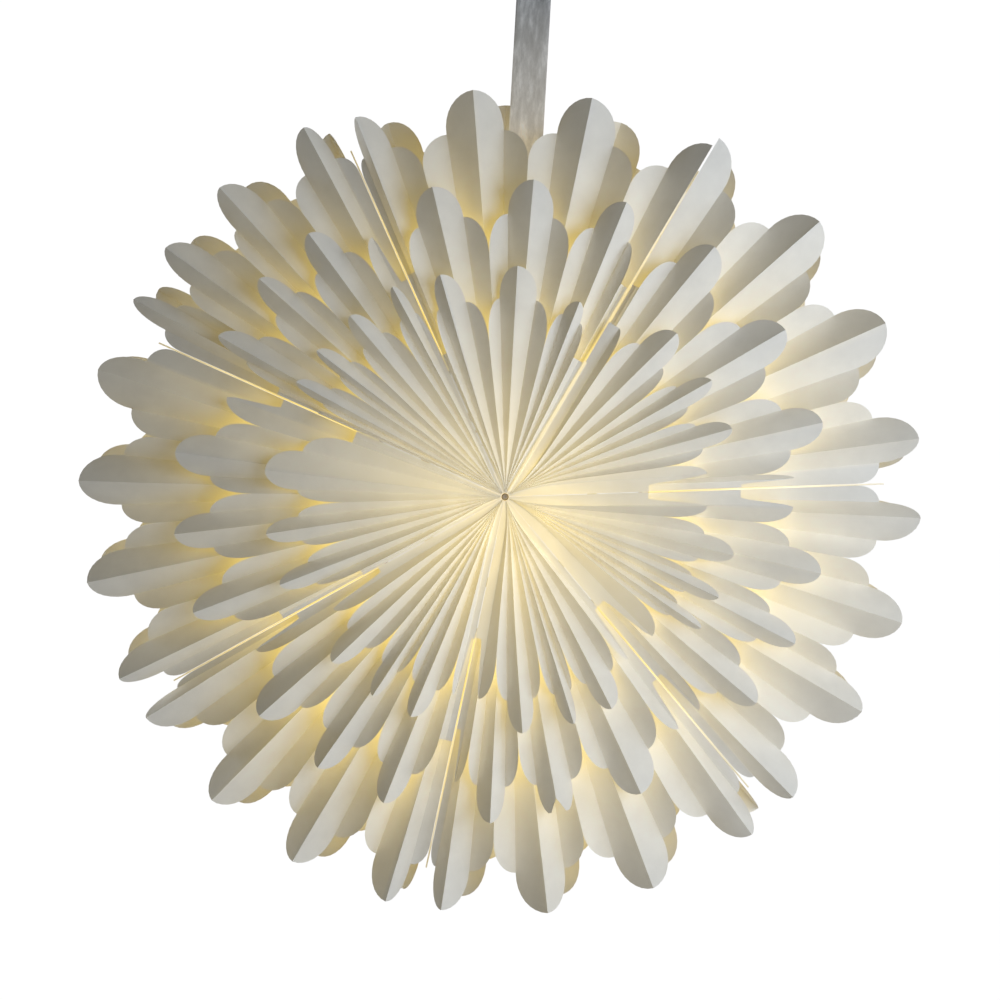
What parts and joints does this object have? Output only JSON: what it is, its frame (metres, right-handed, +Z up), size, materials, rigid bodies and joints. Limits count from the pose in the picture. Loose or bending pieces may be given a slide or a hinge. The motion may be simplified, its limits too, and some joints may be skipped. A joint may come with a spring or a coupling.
{
  "type": "pleated paper star lantern",
  "caption": "Hanging pleated paper star lantern with tiers of scalloped petals round a wire core and small lamp, on a flat velvet ribbon with a sewn loop",
  "frame": {"origin": "the inside top of the ribbon's sewn loop, where the hook bears", "axes": "+Z up along the ribbon, the front of the star faces -Y, +X to the right as the front is seen"},
  "size_m": [0.6053, 0.1023, 0.7205],
  "materials": {
    "star_paper": "matt, uncoated, off-white, lets warm lamp light through",
    "glued_card": "matt cream card",
    "steel_wire": "bright drawn wire",
    "plate_steel": "white powder coat",
    "holder_plastic": "white moulded plastic, satin",
    "shell_brass": "pressed brass",
    "cap_metal": "rolled screw cap",
    "bulb_glass": "frosted, lit warm white",
    "led_filament": "yellow phosphor strips on a glass stem",
    "crushed_velvet": "grey crushed velvet with a soft sheen"
  },
  "bodies": {
    "ribbon": {"hanging_loop": "crushed_velvet", "ribbon_upper": "crushed_velvet"},
    "star": {"front_outer_sheet_1": "star_paper", "front_outer_sheet_2": "star_paper", "front_outer_sheet_3": "star_paper", "front_outer_sheet_4": "star_paper", "front_outer_sheet_5": "star_paper", "front_outer_sheet_6": "star_paper", "front_outer_sheet_7": "star_paper", "front_middle_sheet_1": "star_paper", "front_middle_sheet_2": "star_paper", "front_middle_sheet_3": "star_paper", "front_middle_sheet_4": "star_paper", "front_middle_sheet_5": "star_paper", "front_middle_sheet_6": "star_paper", "front_middle_sheet_7": "star_paper", "front_inner_sheet_1": "star_paper", "front_inner_sheet_2": "star_paper", "front_inner_sheet_3": "star_paper", "front_inner_sheet_4": "star_paper", "front_inner_sheet_5": "star_paper", "front_inner_sheet_6": "star_paper", "front_inner_sheet_7": "star_paper", "back_outer_sheet_1": "star_paper", "back_outer_sheet_2": "star_paper", "back_outer_sheet_3": "star_paper", "back_outer_sheet_4": "star_paper", "back_outer_sheet_5": "star_paper", "back_outer_sheet_6": "star_paper", "back_outer_sheet_7": "star_paper", "back_middle_sheet_1": "star_paper", "back_middle_sheet_2": "star_paper", "back_middle_sheet_3": "star_paper", "back_middle_sheet_4": "star_paper", "back_middle_sheet_5": "star_paper", "back_middle_sheet_6": "star_paper", "back_middle_sheet_7": "star_paper", "seam_wall_1": "star_paper", "seam_wall_2": "star_paper", "seam_wall_3": "star_paper", "seam_wall_4": "star_paper", "seam_wall_5": "star_paper", "seam_wall_6": "star_paper", "seam_wall_7": "star_paper", "front_hub": "glued_card", "back_collar": "glued_card", "core_ring": "steel_wire", "hanger_yoke": "steel_wire", "lamp_plate": "plate_steel", "lamp_holder_body": "holder_plastic", "lamp_holder_cap": "holder_plastic", "screw_shell": "shell_brass", "ribbon_lower": "crushed_velvet"},
    "clamp": {"clamp_ring": "holder_plastic"},
    "bulb": {"bulb_cap": "cap_metal", "bulb_globe": "bulb_glass", "led_stem": "led_filament"}
  },
  "joints": [
    {"name": "star_swivel", "type": "hinge", "parent": "ribbon", "child": "star", "pos_m": [0, 0, -0.114], "axis": [0, 0, 1], "range_deg": [-90, 90]},
    {"name": "clamp_turn", "type": "hinge", "parent": "star", "child": "clamp", "pos_m": [0, 0, -0.38], "axis": [0, 0, 1], "range_deg": [0, 720]},
    {"name": "bulb_turn", "type": "hinge", "parent": "star", "child": "bulb", "pos_m": [0, 0, -0.39], "axis": [0, 0, 1], "range_deg": [0, 1080]}
  ]
}
